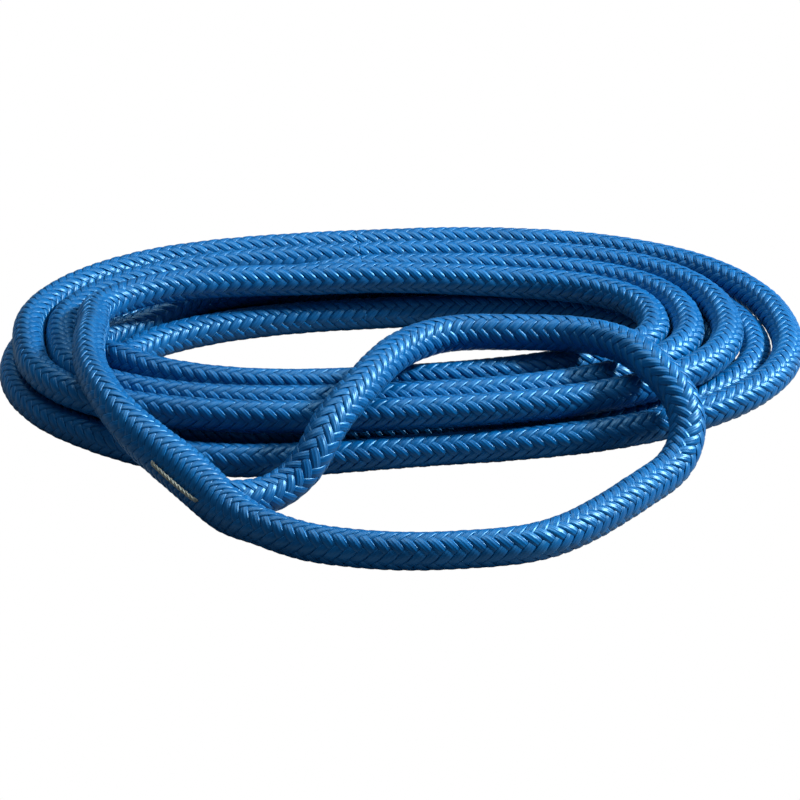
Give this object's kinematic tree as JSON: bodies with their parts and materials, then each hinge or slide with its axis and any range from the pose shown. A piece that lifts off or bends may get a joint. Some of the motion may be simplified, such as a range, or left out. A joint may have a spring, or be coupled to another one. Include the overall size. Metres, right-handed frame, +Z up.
{
  "type": "rope",
  "caption": "Double-braid line with a spliced and lock-stitched soft eye and a whipped bitter end, lying stowed in a low oval coil.",
  "frame": {"origin": "middle of the coil's footprint, on the surface that it lies on", "axes": "+Z up, +X along the coil's long way, -Y towards the eye"},
  "size_m": [0.2934, 0.258, 0.0394],
  "materials": {
    "cover_braid": "satin blue nylon braid",
    "core_braid": "white nylon braid",
    "twine": "waxed khaki twine",
    "melted_nylon": "melted, dull"
  },
  "bodies": {
    "root": {"turn_1_cover": "cover_braid", "turn_2_cover": "cover_braid", "turn_3_cover": "cover_braid", "turn_4_cover": "cover_braid", "turn_5_cover": "cover_braid", "turn_6_cover": "cover_braid", "bitter_end_cover": "cover_braid", "neck_cover": "cover_braid", "throat_cover": "cover_braid", "eye_cover": "cover_braid", "cover_tail": "cover_braid", "turns_core": "core_braid", "throat_core": "core_braid", "eye_core": "core_braid", "lock_stitch": "twine", "end_whipping": "twine", "melted_tip": "melted_nylon"}
  },
  "joints": []
}
